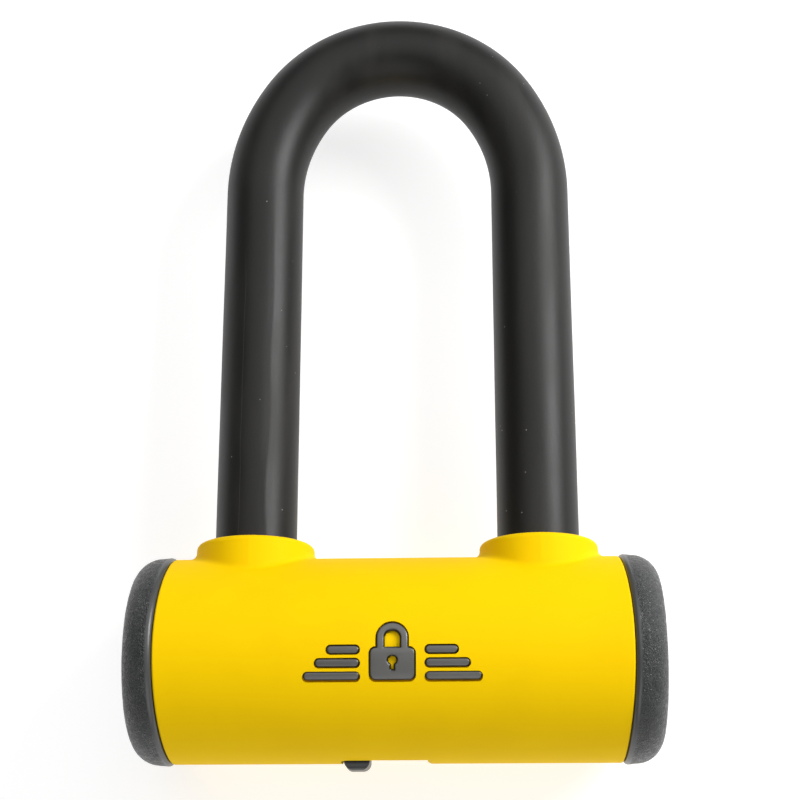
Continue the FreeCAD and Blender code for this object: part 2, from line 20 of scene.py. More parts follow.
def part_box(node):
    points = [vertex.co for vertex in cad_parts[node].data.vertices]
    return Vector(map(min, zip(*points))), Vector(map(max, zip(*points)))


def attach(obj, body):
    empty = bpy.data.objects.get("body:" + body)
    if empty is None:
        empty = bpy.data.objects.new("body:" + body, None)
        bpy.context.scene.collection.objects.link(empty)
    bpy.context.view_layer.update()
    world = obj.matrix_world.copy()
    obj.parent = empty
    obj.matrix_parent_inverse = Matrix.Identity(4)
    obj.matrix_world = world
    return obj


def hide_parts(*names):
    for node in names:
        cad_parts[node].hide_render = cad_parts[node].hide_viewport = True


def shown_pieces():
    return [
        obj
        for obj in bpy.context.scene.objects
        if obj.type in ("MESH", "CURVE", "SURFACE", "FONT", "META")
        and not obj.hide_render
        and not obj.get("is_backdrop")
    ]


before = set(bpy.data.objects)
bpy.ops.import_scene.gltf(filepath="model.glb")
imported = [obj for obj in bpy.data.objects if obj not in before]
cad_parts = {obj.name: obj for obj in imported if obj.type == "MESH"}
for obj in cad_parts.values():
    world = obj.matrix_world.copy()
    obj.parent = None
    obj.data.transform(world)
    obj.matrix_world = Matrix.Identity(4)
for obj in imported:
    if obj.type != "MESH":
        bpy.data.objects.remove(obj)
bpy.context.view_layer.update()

MM = 0.001
LOG = logging.getLogger("u_lock")
Colour = tuple[float, float, float]
Point = tuple[float, float]
WHITE: Colour = (1.0, 1.0, 1.0)


# ------------------------------------------------------------------------------ shader graph


class Signal:
    """One output of a shader graph, which does arithmetic by adding Math nodes."""

    def __init__(self, graph: "ShaderGraph", socket: bpy.types.NodeSocket) -> None:
        """Wrap a socket.

        Args:
            graph: The graph that owns the socket.
            socket: The output socket.
        """
        self.graph = graph
        self.socket = socket

    def math(self, operation: str, *operands: "Operand") -> "Signal":
        """Add a Math node.

        Args:
            operation: Blender's name of the operation.
            operands: Its inputs, in order.

        Returns:
            The result.
        """
        return self.graph.node("ShaderNodeMath", {"operation": operation}, dict(enumerate(operands)))

    def __add__(self, other: "Operand") -> "Signal":
        """Sum."""
        return self.math("ADD", self, other)

    def __radd__(self, other: "Operand") -> "Signal":
        """Sum, reflected."""
        return self.math("ADD", other, self)

    def __sub__(self, other: "Operand") -> "Signal":
        """Difference."""
        return self.math("SUBTRACT", self, other)

    def __rsub__(self, other: "Operand") -> "Signal":
        """Difference, reflected."""
        return self.math("SUBTRACT", other, self)

    def __mul__(self, other: "Operand") -> "Signal":
        """Product."""
        return self.math("MULTIPLY", self, other)

    def __rmul__(self, other: "Operand") -> "Signal":
        """Product, reflected."""
        return self.math("MULTIPLY", other, self)

    def __pow__(self, other: "Operand") -> "Signal":
        """Power."""
        return self.math("POWER", self, other)

    def between(self, low: float, high: float) -> "Signal":
        """Smooth step.

        Args:
            low: Where the result is 0.
            high: Where the result is 1; it may be below low.

        Returns:
            A value from 0 to 1.
        """
        settings = {"interpolation_type": "SMOOTHSTEP"}
        sockets = {"Value": self, "From Min": low, "From Max": high}
        return self.graph.node("ShaderNodeMapRange", settings, sockets)


Operand = Union[Signal, float]


class ShaderGraph:
    """The node tree of one material."""

    def __init__(self, name: str) -> None:
        """Start an empty material.

        Args:
            name: The material's name.
        """
        self.material = bpy.data.materials.new(name)
        self.material.use_nodes = True
        self.tree = self.material.node_tree
        self.tree.nodes.clear()

    def node(
        self,
        kind: str,
        settings: dict[str, object] | None = None,
        sockets: dict[str | int, object] | None = None,
        output: str | int = 0,
    ) -> Signal:
        """Add a node.

        Args:
            kind: The node's type.
            settings: Its properties, set before its sockets.
            sockets: Values or signals of its inputs, by name or number.
            output: The output that is returned.

        Returns:
            The chosen output.
        """
        made = self.tree.nodes.new(kind)
        for name, value in (settings or {}).items():
            setattr(made, name, value)
        for name, value in (sockets or {}).items():
            if isinstance(value, Signal):
                self.tree.links.new(value.socket, made.inputs[name])
            else:
                made.inputs[name].default_value = value
        return Signal(self, made.outputs[output] if made.outputs else None)

    def place(self, stretch: Sequence[float] = (1.0, 1.0, 1.0)) -> Signal:
        """Position on the object at rest.

        Args:
            stretch: Factors on X, Y and Z.

        Returns:
            A vector in metres times the factors.
        """
        raw = self.node("ShaderNodeTexCoord", output="Object")
        return self.vector("MULTIPLY", raw, tuple(stretch))

    def axes(self) -> list[Signal]:
        """X, Y and Z on the object at rest.

        Returns:
            Three numbers in metres.
        """
        place = self.place()
        return [self.node("ShaderNodeSeparateXYZ", None, {0: place}, axis) for axis in range(3)]

    def vector(self, operation: str, *operands: object, factor: float | None = None) -> Signal:
        """Add a Vector Math node.

        Args:
            operation: Blender's name of the operation.
            operands: Its vectors, in order.
            factor: The number that a SCALE operation multiplies by.

        Returns:
            The vector.
        """
        sockets: dict[str | int, object] = dict(enumerate(operands))
        if factor is not None:
            sockets["Scale"] = factor
        return self.node("ShaderNodeVectorMath", {"operation": operation}, sockets)

    def noise(self, grain: float, detail: float = 2.0, where: Signal | None = None) -> Signal:
        """Cloudy noise.

        Args:
            grain: Size of one lump, in metres.
            detail: Octaves.
            where: Position, the object's own if left out.

        Returns:
            A value round 0.5.
        """
        sockets = {"Vector": where or self.place(), "Scale": 1.0 / grain, "Detail": detail}
        return self.node("ShaderNodeTexNoise", None, sockets)

    def cells(self, grain: float, feature: str, where: Signal | None = None) -> Signal:
        """Cell pattern.

        Args:
            grain: Size of one cell, in metres.
            feature: Blender's name of the distance that is measured.
            where: Position, the object's own if left out.

        Returns:
            The distance.
        """
        sockets = {"Vector": where or self.place(), "Scale": 1.0 / grain}
        return self.node("ShaderNodeTexVoronoi", {"feature": feature}, sockets)

    def tint(self, amount: Operand, start: object, end: object) -> Signal:
        """Blend of two colours.

        Args:
            amount: 0 for start, 1 for end.
            start: First colour or signal.
            end: Second colour or signal.

        Returns:
            The colour.
        """
        settings = {"data_type": "RGBA"}
        made = {0: amount, 6: rgba(start), 7: rgba(end)}
        return self.node("ShaderNodeMix", settings, made, output=2)

    def relief(self, height: Signal, depth: float) -> Signal:
        """Bump.

        Args:
            height: Height from 0 to 1.
            depth: Real height of 1, in metres.

        Returns:
            A normal.
        """
        sockets = {"Height": height, "Distance": depth, "Strength": 1.0}
        return self.node("ShaderNodeBump", None, sockets)

    def surface(self, sockets: dict[str, object]) -> bpy.types.Material:
        """Finish the material with a principled shader.

        Args:
            sockets: Values or signals of the shader's inputs.

        Returns:
            The material.
        """
        shader = self.node("ShaderNodeBsdfPrincipled", None, sockets)
        self.node("ShaderNodeOutputMaterial", None, {"Surface": shader})
        return self.material


def rgba(colour: object) -> object:
    """Add an alpha of 1 to a colour; a signal passes as it is."""
    return colour if isinstance(colour, Signal) else (*colour, 1.0)


# ---------------------------------------------------------------------------------- finishes


@dataclass(frozen=True)
class Finish:
    """What every finish has: a name, its slot in the record and a way to make its material."""

    name: str
    slot: str

    def material(self) -> bpy.types.Material:
        """Make the material."""
        raise NotImplementedError


@dataclass(frozen=True)
class SatinMoulding(Finish):
    """Fine-textured moulded plastic, as on the cover, the emblem and the slider.

    Where a shade radius is given, the plastic is painted darker within that distance of the crossbar's
    axis:
    painted shade in the groove round a raised inlay, standing in for the shadow there.
    """

    base: Colour = (0.5, 0.5, 0.5)
    shade: Colour = (0.4, 0.4, 0.4)
    roughness: float = 0.5
    sparkle: float = 0.12
    texture_grain: float = 0.28 * MM
    texture_depth: float = 0.02 * MM
    clouding: float = 14 * MM
    specular: float = 0.4
    painted_shade_below: float = 0.0
    painted_shade_blend: float = 0.08 * MM
    painted_groove_shade: Colour = (0.006, 0.005, 0.003)

    def material(self) -> bpy.types.Material:
        """Make the material.

        Returns:
            Plastic with a spark-eroded texture and faint clouding.
        """
        graph = ShaderGraph(self.name)
        cloud = graph.noise(self.clouding, 3.0).between(0.35, 0.7)
        texture = graph.noise(self.texture_grain, 2.0)
        colour = graph.tint(cloud, self.base, self.shade)
        if self.painted_shade_below:
            _x, y, z = graph.axes()
            radius = (y * y + z * z) ** 0.5
            # Painted shade: the colour darkens near the axis, in the groove round each inlay, where
            # shadow falls.
            edge = radius.between(self.painted_shade_below + self.painted_shade_blend, self.painted_shade_below)
            colour = graph.tint(edge, colour, self.painted_groove_shade)
        return graph.surface(
            {
                "Base Color": colour,
                "Roughness": texture * self.sparkle + (self.roughness - self.sparkle / 2),
                "Specular IOR Level": self.specular,
                "Normal": graph.relief(texture, self.texture_depth),
            }
        )


@dataclass(frozen=True)
class LeatherGrain(Finish):
    """Moulded plastic with a fine leather grain, as on the end caps; the lip stays smooth.

    The lip follows the bowed seam, so the grain starts at a distance past the seam's curve. The smooth
    lip is painted paler as a highlight, and pebble tops are paler from wear and a painted glint.
    """

    base: Colour = (0.02, 0.0215, 0.022)
    wear_and_highlight_colour: Colour = (0.062, 0.064, 0.064)
    pebble: float = 0.62 * MM
    lump: float = 0.5 * MM
    depth: float = 0.15 * MM
    stretch: tuple[float, float, float] = (1.5, 1.0, 1.0)
    wander_scale: float = 900.0
    wander: float = 0.7 * MM
    wear_patch: float = 5 * MM
    shine_patch: float = 0.9 * MM
    lip_roughness: float = 0.32
    seam_radius: float = 161 * MM
    smooth_to: float = 49.0 * MM
    grain_from: float = 49.6 * MM

    def material(self) -> bpy.types.Material:
        """Make the material.

        Returns:
            Plastic with pebbles whose tops are a little shinier and paler, from wear and a painted
            glint, and a lip painted paler as a highlight.
        """
        graph = ShaderGraph(self.name)
        place = graph.place(self.stretch)
        sockets = {"Vector": place, "Scale": self.wander_scale}
        drift = graph.node("ShaderNodeTexNoise", None, sockets, "Color")
        bent = graph.vector("ADD", place, graph.vector("SCALE", drift, factor=self.wander))
        pebbles = graph.cells(self.pebble, "DISTANCE_TO_EDGE", bent).between(0.0, 0.3)
        lumps = graph.noise(self.lump, 3.0, bent).between(0.35, 0.65)
        x, _y, z = graph.axes()
        past_seam = x.math("ABSOLUTE", x) - z * z * (0.5 / self.seam_radius)
        grained = past_seam.between(self.smooth_to, self.grain_from)
        height = (pebbles * 0.5 + lumps * 0.5) * grained
        # Pebble tops are paler: partly wear, partly a painted glint.
        wear_and_glint = pebbles * graph.noise(self.wear_patch, 2.0).between(0.35, 0.7)
        shine = graph.noise(self.shine_patch, 2.0).between(0.45, 0.65)
        # The smooth lip takes the paler colour in full: a painted highlight.
        pale = wear_and_glint.math("MAXIMUM", wear_and_glint * 0.8, 1.0 - grained)
        return graph.surface(
            {
                "Base Color": graph.tint(pale, self.base, self.wear_and_highlight_colour),
                "Roughness": self.lip_roughness + grained * (0.1 + 0.06 * lumps - 0.18 * shine),
                "Specular IOR Level": 0.5,
                "Normal": graph.relief(height, self.depth),
            }
        )


@dataclass(frozen=True)
class VinylSleeve(Finish):
    """Near-black vinyl with a fine grain, dust specks, faint smears and a witness line on one leg."""

    base: Colour = (0.007, 0.0067, 0.006)
    smear: Colour = (0.015, 0.0145, 0.013)
    speck: Colour = (0.24, 0.24, 0.22)
    smear_size: float = 9 * MM
    grain: float = 0.26 * MM
    grain_depth: float = 0.022 * MM
    speck_pitch: float = 3.4 * MM
    speck_patch: float = 11 * MM
    line_x: float = -34.9 * MM
    line_half: float = 0.07 * MM
    line_wander: float = 1.4 * MM
    line_wave: float = 22 * MM
    line_end_y: float = 98 * MM
    line_fade: float = 15 * MM
    line_strength: float = 0.12

    def material(self) -> bpy.types.Material:
        """Make the material.

        Returns:
            Soft vinyl.
        """
        graph = ShaderGraph(self.name)
        smear = graph.noise(self.smear_size, 3.0, graph.place((1.0, 0.25, 1.0))).between(0.42, 0.75)
        fine = graph.noise(self.grain, 2.0)
        dust = graph.cells(self.speck_pitch, "F1").between(0.05, 0.03)
        dust = dust * graph.noise(self.speck_patch, 1.0).between(0.45, 0.6)
        x, y, z = graph.axes()
        drift = graph.noise(self.line_wave, 1.0, graph.place((0.0, 1.0, 0.0))) * self.line_wander
        offset = x - self.line_x - drift
        line = offset.math("ABSOLUTE", offset).between(self.line_half, 0.3 * self.line_half)
        line = line * z.between(0.0, MM) * y.between(self.line_end_y, self.line_end_y - self.line_fade)
        marks = dust.math("MAXIMUM", dust, line * self.line_strength)
        colour = graph.tint(smear, self.base, self.smear)
        return graph.surface(
            {
                "Base Color": graph.tint(marks, colour, self.speck),
                "Roughness": 0.4 + 0.1 * smear + 0.08 * fine,
                "Specular IOR Level": 0.34,
                "Normal": graph.relief(fine, self.grain_depth),
            }
        )


@dataclass(frozen=True)
class SoftRubber(Finish):
    """Matt black rubber."""

    base: Colour = (0.02, 0.02, 0.021)
    bloomed: Colour = (0.045, 0.045, 0.046)
    grain: float = 0.25 * MM
    grain_depth: float = 0.015 * MM
    bloom_patch: float = 3 * MM

    def material(self) -> bpy.types.Material:
        """Make the material.

        Returns:
            Rubber with a faint pale bloom.
        """
        graph = ShaderGraph(self.name)
        bloom = graph.noise(self.bloom_patch, 3.0).between(0.45, 0.75)
        return graph.surface(
            {
                "Base Color": graph.tint(bloom, self.base, self.bloomed),
                "Roughness": 0.72 + 0.1 * bloom,
                "Normal": graph.relief(graph.noise(self.grain), self.grain_depth),
            }
        )


class Lay(Enum):
    """Which way the tool marks run: the factors on X, Y and Z squeeze the noise across them."""

    ROUND_X = (30.0, 1.0, 1.0)
    ROUND_Y = (1.0, 30.0, 1.0)
    ALONG_X = (1.0, 25.0, 25.0)
    BLASTED = (1.0, 1.0, 1.0)


@dataclass(frozen=True)
class WorkedMetal(Finish):
    """Machined, ground or blasted metal."""

    base: Colour = (0.5, 0.51, 0.53)
    stain: Colour = (0.34, 0.34, 0.35)
    roughness: float = 0.34
    lay: Lay = Lay.BLASTED
    mark: float = 6 * MM
    depth: float = 0.01 * MM
    stain_patch: float = 7 * MM

    def material(self) -> bpy.types.Material:
        """Make the material.

        Returns:
            Metal with tool marks along the lay and uneven tarnish.
        """
        graph = ShaderGraph(self.name)
        marks = graph.noise(self.mark, 4.0, graph.place(self.lay.value))
        stain = graph.noise(self.stain_patch, 4.0).between(0.45, 0.8)
        return graph.surface(
            {
                "Base Color": graph.tint(stain, self.base, self.stain),
                "Metallic": 1.0,
                "Roughness": self.roughness + 0.16 * marks + 0.12 * stain,
                "Normal": graph.relief(marks, self.depth),
            }
        )


# ------------------------------------------------------------------------------ mesh helpers


def new_piece(
    name: str,
    verts: Sequence[Sequence[float]],
    faces: Iterable[Sequence[int]],
) -> bpy.types.Object:
    """Make a smooth-shaded mesh object.

    Args:
        name: The piece's name.
        verts: Its points.
        faces: Its faces, as lists of point numbers.

    Returns:
        The object, linked to the scene.
    """
    mesh = bpy.data.meshes.new(name)
    mesh.from_pydata([tuple(point) for point in verts], [], [tuple(face) for face in faces])
    mesh.validate()
    shell = bmesh.new()
    shell.from_mesh(mesh)
    bmesh.ops.recalc_face_normals(shell, faces=shell.faces)
    shell.to_mesh(mesh)
    shell.free()
    mesh.shade_smooth()
    piece = bpy.data.objects.new(name, mesh)
    bpy.context.scene.collection.objects.link(piece)
    return piece


def ring_faces(rings: int, around: int, closed: bool = False) -> list[tuple[int, int, int, int]]:
    """Quads between neighbouring rings of points.

    Args:
        rings: How many rings.
        around: Points on each ring.
        closed: Whether the last ring joins the first.

    Returns:
        The quads.
    """
    faces = []
    for ring in range(rings if closed else rings - 1):
        here = ring * around
        there = (ring + 1) % rings * around
        for step in range(around):
            turn = (step + 1) % around
            faces.append((here + step, here + turn, there + turn, there + step))
    return faces


def arc_points(centre: Point, radius: float, start: float, end: float, steps: int) -> list[Point]:
    """Points along an arc in a profile.

    Args:
        centre: Its centre.
        radius: Its radius.
        start: First angle, in degrees.
        end: Last angle, in degrees.
        steps: Spans.

    Returns:
        The points, both ends included.
    """
    angles = np.radians(np.linspace(start, end, steps + 1))
    return [(centre[0] + radius * math.cos(a), centre[1] + radius * math.sin(a)) for a in angles]


def evened(points: Sequence[Point], spacing: float) -> list[Point]:
    """Add points to long straight spans of an open outline.

    Args:
        points: The outline.
        spacing: The longest span allowed.

    Returns:
        The outline with more points.
    """
    result = [points[0]]
    for start, end in zip(points, points[1:]):
        count = max(1, math.ceil(math.dist(start, end) / spacing))
        for step in range(1, count + 1):
            share = step / count
            result.append(tuple(a + (b - a) * share for a, b in zip(start, end)))
    return result


def dress(piece: bpy.types.Object, finish: Finish, body: str, *stands_for: str) -> None:
    """Give a built piece its material, its body and the CAD nodes it stands for.

    Args:
        piece: The piece.
        finish: Its finish.
        body: The CAD body it rides on.
        stands_for: CAD nodes that it replaces.
    """
    piece.data.materials.clear()
    piece.data.materials.append(material_of(finish))
    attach(piece, body)
    if stands_for:
        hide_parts(*stands_for)


_MATERIALS: dict[str, bpy.types.Material] = {}


def material_of(finish: Finish) -> bpy.types.Material:
    """The finish's material, made once."""
    if finish.name not in _MATERIALS:
        _MATERIALS[finish.name] = finish.material()
    return _MATERIALS[finish.name]


def dress_cad(node: str, finish: Finish) -> None:
    """Give a CAD node its finish.

    Args:
        node: The node's name.
        finish: Its finish.
    """
    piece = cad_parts[node]
    piece.data.materials.clear()
    piece.data.materials.append(material_of(finish))


# ----------------------------------------------------------------------------------- shackle


@dataclass
class Shackle:
    """Vinyl-sleeved steel bar, bent as a three-centred arch."""

    shoulder_radius: float = 41.2 * MM
    shoulder_angle: float = math.radians(35.0)
    sleeve_wall: float = 1.0 * MM
    lip_round: float = 0.35 * MM
    lip_steps: int = 3
    around: int = 180
    ring_pitch: float = 1.1 * MM
    bore_pitch: float = 4.4 * MM
    waviness: float = 0.04 * MM
    wave_length: float = 24 * MM
    crease_angle: float = math.radians(112.0)
    crease_width: float = 0.55 * MM
    crease_height: float = 0.045 * MM
    crease_fade: float = 14 * MM
    crease_wander: float = 0.16
    finish: Finish = field(default_factory=lambda: VinylSleeve("sleeve_vinyl", "sleeve_vinyl"))
    bar_finish: Finish = field(
        default_factory=lambda: WorkedMetal("bar_steel", "hardened_steel", lay=Lay.ROUND_Y)
    )

    def __post_init__(self) -> None:
        """Read the sleeve's radius, leg position and ends from the frame."""
        low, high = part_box("shackle_sleeve")
        self.radius = high.z
        self.leg_x = high.x - self.radius
        self.end_y = low.y
        inset = self.shoulder_radius - self.leg_x
        self.crown_radius = self.shoulder_radius - inset / math.cos(self.shoulder_angle)
        self.crown_y = high.y - self.radius - self.crown_radius
        self.leg_top_y = self.crown_y - inset * math.tan(self.shoulder_angle)
        self.inset = inset

    def stations(self, pitch: float) -> list[tuple[Vector, Vector]]:
        """Points and outward normals along the centre line, from the left foot to the right.

        Args:
            pitch: Distance between neighbours.

        Returns:
            Pairs of a point and the normal in the arch's plane.
        """
        half_turn = math.pi / 2 - self.shoulder_angle
        runs = (
            (self.leg_top_y - self.end_y, self._on_leg),
            (self.shoulder_radius * self.shoulder_angle, self._on_shoulder),
            (self.crown_radius * half_turn, self._on_crown),
        )
        left = []
        for length, rule in runs:
            count = max(2, round(length / pitch))
            left += [rule(step / count) for step in range(count)]
        top = (Vector((0, self.crown_y + self.crown_radius, 0)), Vector((0, 1, 0)))
        flip = Vector((-1, 1, 1))
        right = [(point * flip, normal * flip) for point, normal in reversed(left)]
        return left + [top] + right

    def _on_leg(self, share: float) -> tuple[Vector, Vector]:
        """Station on the left leg at a share of its length."""
        y = self.end_y + (self.leg_top_y - self.end_y) * share
        return Vector((-self.leg_x, y, 0)), Vector((-1, 0, 0))

    def _on_shoulder(self, share: float) -> tuple[Vector, Vector]:
        """Station on the left shoulder at a share of its turn."""
        angle = self.shoulder_angle * share
        normal = Vector((-math.cos(angle), math.sin(angle), 0))
        return Vector((self.inset, self.leg_top_y, 0)) + normal * self.shoulder_radius, normal

    def _on_crown(self, share: float) -> tuple[Vector, Vector]:
        """Station on the left half of the crown at a share of its turn."""
        angle = self.shoulder_angle + (math.pi / 2 - self.shoulder_angle) * share
        normal = Vector((-math.cos(angle), math.sin(angle), 0))
        return Vector((0, self.crown_y, 0)) + normal * self.crown_radius, normal

    def _ring(self, point: Vector, normal: Vector, radius: float, marked: bool) -> list[Vector]:
        """Points round one station.

        Args:
            point: The station.
            normal: Its outward normal.
            radius: The ring's radius.
            marked: Whether the sleeve's waviness and crease are added.

        Returns:
            The ring's points.
        """
        up = Vector((0, 0, 1))
        ring = []
        for step in range(self.around):
            angle = math.tau * step / self.around
            spoke = normal * math.cos(angle) + up * math.sin(angle)
            grown = radius
            if marked:
                place = (point + spoke * radius) / self.wave_length
                grown += self.waviness * noise.noise(place)
                grown += self._crease(point, angle)
            ring.append(point + spoke * grown)
        return ring

    def _crease(self, point: Vector, angle: float) -> float:
        """Height of the soft crease along the left leg.

        Args:
            point: The station.
            angle: The angle round the sleeve.

        Returns:
            The height, in metres.
        """
        if point.x > 0:
            return 0.0
        wander = self.crease_wander * noise.noise(Vector((0, point.y / self.wave_length, 7)))
        off = (angle - self.crease_angle - wander) * self.radius / self.crease_width
        fade = min(1.0, max(0.0, (self.leg_top_y - point.y) / self.crease_fade))
        return self.crease_height * fade * math.exp(-off * off)

    def _foot(self, station: tuple[Vector, Vector], bore: float) -> list[list[Vector]]:
        """Rounded end of a leg's sleeve, from the outside to the bore.

        Args:
            station: The leg's last point and its normal.
            bore: The sleeve's inner radius.

        Returns:
            The rings of points.
        """
        point, normal = station
        lip = arc_points((0.0, 0.0), self.lip_round, 0.0, 90.0, self.lip_steps)
        levels = [
            (out - self.lip_round, point + Vector((0, self.lip_round - drop, 0))) for out, drop in lip
        ]
        outside = [self._ring(level, normal, self.radius + out, True) for out, level in levels]
        inside = [self._ring(level, normal, bore - out, False) for out, level in reversed(levels)]
        return outside + inside

    def build_sleeve(self) -> bpy.types.Object:
        """Sweep the sleeve's wall along the arch, outside and in, with rounded lips.

        Returns:
            The sleeve.
        """
        outer = self.stations(self.ring_pitch)
        inner = self.stations(self.bore_pitch)
        bore = self.radius - self.sleeve_wall
        rings = [self._ring(*station, self.radius, True) for station in outer[1:-1]]
        rings += self._foot(outer[-1], bore)
        rings += [self._ring(*station, bore, False) for station in reversed(inner[1:-1])]
        rings += reversed(self._foot(outer[0], bore))
        verts = [vert for ring in rings for vert in ring]
        return new_piece("sleeve", verts, ring_faces(len(rings), self.around, closed=True))

    def build(self) -> None:
        """Build the sleeve and dress it and the bar."""
        dress(self.build_sleeve(), self.finish, "shackle", "shackle_sleeve")
        dress_cad("shackle_bar", self.bar_finish)


# ---------------------------------------------------------------------------------- crossbar


@dataclass
class EndCaps:
    """Leather-grained caps whose smooth lip follows the bowed seam with the cover."""

    seam_x: float = 48.15 * MM
    seam_radius: float = 161 * MM
    seam_fade: float = 4 * MM
    lip_round: float = 0.9 * MM
    edge_round: float = 5.8 * MM
    socket_x: float = 50.6 * MM
    spigot_radius: float = 15.2 * MM
    spigot_bore: float = 12.0 * MM
    floor: float = 2.5 * MM
    side_taper: float = 0.15 * MM
    socket_slack: float = 0.05 * MM
    spacing: float = 0.42 * MM
    socket_spacing: float = 2.52 * MM
    edge_steps: int = 12
    lip_steps: int = 9
    around: int = 320
    pebble: float = 1.5 * MM
    pebble_depth: float = 0.04 * MM
    face_fade: float = 3 * MM
    crease_degrees: float = 50.0
    finish: Finish = field(default_factory=lambda: LeatherGrain("cap_leather_grain", "cap_plastic"))

    def __post_init__(self) -> None:
        """Read the cap's length and radii from the frame."""
        low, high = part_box("right_end_cap")
        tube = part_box("crossbar_tube")[1]
        self.end_x = high.x
        self.spigot_x = low.x
        self.lip_radius = high.z
        self.body_radius = high.z - self.side_taper
        self.socket_radius = tube.z + self.socket_slack

    def wall_profile(self) -> list[Point]:
        """Outline of the outer wall, from the end face's middle to the socket's mouth.

        Returns:
            Pairs of x and radius.
        """
        round_x = self.end_x - self.edge_round
        round_radius = self.body_radius - self.edge_round
        edge = arc_points((round_x, round_radius), self.edge_round, 0, 88, self.edge_steps)
        lip_centre = (self.seam_x + self.lip_round, self.lip_radius - self.lip_round)
        lip = arc_points(lip_centre, self.lip_round, 84, 180, self.lip_steps)
        outside = evened([(self.end_x, 0.0)] + edge + lip, self.spacing)
        return outside + [(self.seam_x, self.socket_radius)]

    def inner_profile(self) -> list[Point]:
        """Outline of the socket and the spigot, from the socket's mouth to the middle of the floor.

        Returns:
            Pairs of x and radius.
        """
        inner_floor = self.end_x - self.floor
        inside = [
            (self.seam_x, self.socket_radius),
            (self.socket_x, self.socket_radius),
            (self.socket_x, self.spigot_radius),
            (self.spigot_x, self.spigot_radius),
            (self.spigot_x, self.spigot_bore),
            (inner_floor, self.spigot_bore),
            (inner_floor, 0.0),
        ]
        return evened(inside, self.socket_spacing)[1:]

    def seam_shift(self, x: float, z: float) -> float:
        """How far the bowed seam pushes a point of the outer wall away from the lock's middle.

        Args:
            x: The point's place along the outline.
            z: Its height.

        Returns:
            The shift, which fades out past the lip.
        """
        past = min(1.0, max(0.0, (x - self.seam_x - self.lip_round) / self.seam_fade))
        share = 1.0 - past * past * (3.0 - 2.0 * past)
        return share * z * z / (2.0 * self.seam_radius)

    def grain_lift(self, point: Vector, x: float, side: int) -> Vector:
        """Offset that presses the leather grain into the cap.

        Args:
            point: The smooth cap's point.
            x: Its place along the outline.
            side: 1 for the right cap, -1 for the left.

        Returns:
            The offset, which fades out at the lip and in the middle of the end face.
        """
        radial = Vector((0, point.y, point.z))
        past_lip = (x - self.seam_x - self.lip_round) / MM
        fade = min(1.0, past_lip) * min(1.0, radial.length / self.face_fade)
        swell = noise.noise(point / self.pebble) + 0.5 * noise.noise(point / (0.5 * self.pebble))
        outward = radial.normalized()
        outward.x = side * max(0.0, 1 - (self.end_x - x) / self.edge_round)
        return outward.normalized() * (fade * self.pebble_depth * (swell - 0.8))

    def build_cap(self, name: str, side: int) -> bpy.types.Object:
        """Turn the profile about the crossbar's axis and press the grain into it.

        Args:
            name: The piece's name.
            side: 1 for the right cap, -1 for the left.

        Returns:
            The cap.
        """
        wall = self.wall_profile()
        outline = wall + self.inner_profile()
        grain_from = self.seam_x + self.lip_round
        rings = []
        for number, (x, radius) in enumerate(outline[1:-1], start=1):
            on_wall = number < len(wall)
            grained = x > grain_from and (on_wall or radius > self.spigot_radius)
            ring = []
            for step in range(self.around):
                angle = math.tau * step / self.around
                point = Vector((side * x, radius * math.cos(angle), radius * math.sin(angle)))
                if grained:
                    point += self.grain_lift(point, x, side)
                if on_wall:
                    point.x += side * self.seam_shift(x, point.z)
                ring.append(point)
            rings.append(ring)
        verts = [vert for ring in rings for vert in ring]
        faces: list[tuple[int, ...]] = list(ring_faces(len(rings), self.around))
        for ring, (x, _radius) in ((0, outline[0]), (len(rings) - 1, outline[-1])):
            hub = len(verts)
            verts.append(Vector((side * x, 0, 0)))
            base = ring * self.around
            faces += [(hub, base + step, base + (step + 1) % self.around) for step in range(self.around)]
        piece = new_piece(name, verts, faces)
        piece.data.set_sharp_from_angle(angle=math.radians(self.crease_degrees))
        return piece

    def build(self) -> None:
        """Build and dress both caps."""
        for name, side in (("left", -1), ("right", 1)):
            piece = self.build_cap(f"{name}_cap", side)
            dress(piece, self.finish, "crossbar", f"{name}_end_cap")


@dataclass
class CrossbarShell:
    """The yellow moulded cover, whose shape is the CAD node's own."""

    cover_finish: Finish = field(
        default_factory=lambda: SatinMoulding(
            "cover_yellow",
            "yellow_plastic",
            base=(0.93, 0.6, 0.0),
            shade=(0.91, 0.58, 0.0),
            roughness=0.62,
            specular=0.05,
        )
    )

    def build(self) -> None:
        """Dress the cover."""
        dress_cad("crossbar_cover", self.cover_finish)


